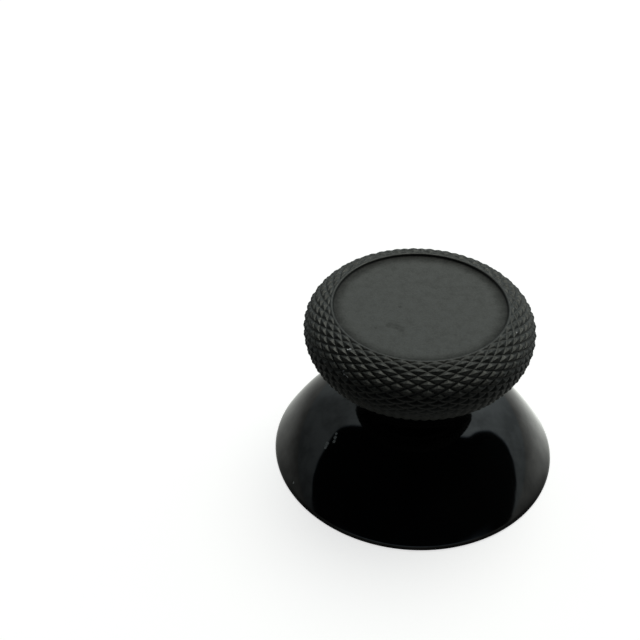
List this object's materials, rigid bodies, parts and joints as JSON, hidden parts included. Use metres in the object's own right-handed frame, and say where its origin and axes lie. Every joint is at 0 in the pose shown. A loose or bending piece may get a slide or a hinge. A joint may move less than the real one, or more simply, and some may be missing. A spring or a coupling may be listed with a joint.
{
  "type": "controller thumb grip",
  "caption": "Round thumb grip for a controller stick: dished disc in a diamond-knurled ring, waisted neck, domed hollow skirt with a socket boss inside.",
  "frame": {"origin": "centre of the skirt's mouth, in the plane of the rim that the grip stands on", "axes": "+Z along the grip's axis from the skirt to the thumb disc; +X and +Y level, each towards a column of knurl diamonds"},
  "size_m": [0.022, 0.022, 0.0143],
  "materials": {
    "moulded_plastic": "black moulded plastic, polished on the skirt and neck, with a fine matt grain on the thumb disc and the knurled ring"
  },
  "bodies": {
    "root": {"thumb_grip": "moulded_plastic"}
  },
  "joints": []
}
